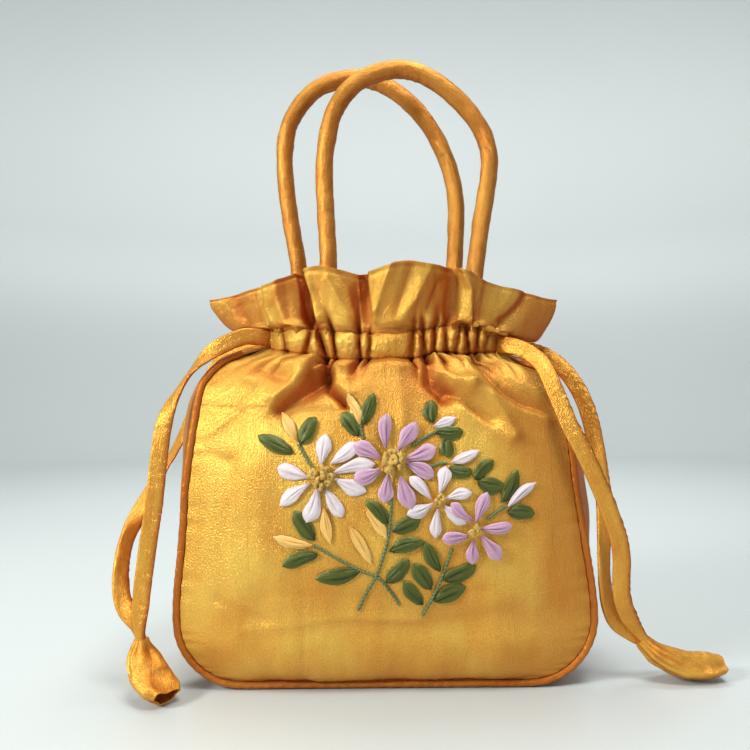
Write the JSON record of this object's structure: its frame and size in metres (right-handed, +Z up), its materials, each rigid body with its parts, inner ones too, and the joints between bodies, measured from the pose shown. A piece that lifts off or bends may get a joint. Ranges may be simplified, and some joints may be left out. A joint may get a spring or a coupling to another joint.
{
  "type": "embroidered drawstring pouch",
  "caption": "Small standing handbag of gold satin with a flat bottom, tube handles, a drawstring neck under a ruffle and ribbon-embroidered flowers.",
  "frame": {"origin": "on the resting surface, under the middle of the bag", "axes": "+X to the right of the embroidered front, +Z up, the embroidered front faces -Y"},
  "size_m": [0.3206, 0.1155, 0.3408],
  "materials": {
    "gold_satin": "shot satin",
    "piping_satin": "satin",
    "white_ribbon": "ribbon",
    "lilac_ribbon": "ribbon",
    "green_ribbon": "ribbon",
    "yellow_ribbon": "ribbon"
  },
  "bodies": {
    "root": {"front_panel": "gold_satin", "back_panel": "gold_satin", "gusset": "gold_satin", "front_piping": "piping_satin", "back_piping": "piping_satin", "casing_front": "gold_satin", "casing_back": "gold_satin", "ruffle": "gold_satin", "handle_front": "gold_satin", "handle_back": "gold_satin", "drawstring_left_front": "gold_satin", "drawstring_left_back": "gold_satin", "drawstring_right_front": "gold_satin", "drawstring_right_back": "gold_satin", "string_end_left": "gold_satin", "string_end_right": "gold_satin", "flower_white_large": "white_ribbon", "flower_centre_white_large": "yellow_ribbon", "flower_lilac_large": "lilac_ribbon", "flower_centre_lilac_large": "yellow_ribbon", "flower_white_small": "white_ribbon", "flower_centre_white_small": "yellow_ribbon", "flower_lilac_small": "lilac_ribbon", "flower_centre_lilac_small": "yellow_ribbon", "green_loose_leaf": "green_ribbon", "green_sprig_1": "green_ribbon", "green_sprig_2": "green_ribbon", "green_sprig_3": "green_ribbon", "green_sprig_4": "green_ribbon", "green_sprig_5": "green_ribbon", "green_sprig_6": "green_ribbon", "green_branch_left": "green_ribbon", "green_branch_right": "green_ribbon", "bud_yellow_1": "yellow_ribbon", "bud_yellow_2": "yellow_ribbon", "bud_yellow_3": "yellow_ribbon", "bud_yellow_4": "yellow_ribbon", "bud_yellow_5": "yellow_ribbon", "bud_yellow_6": "yellow_ribbon", "bud_white_1": "white_ribbon", "bud_white_2": "white_ribbon", "bud_white_3": "white_ribbon"}
  },
  "joints": []
}
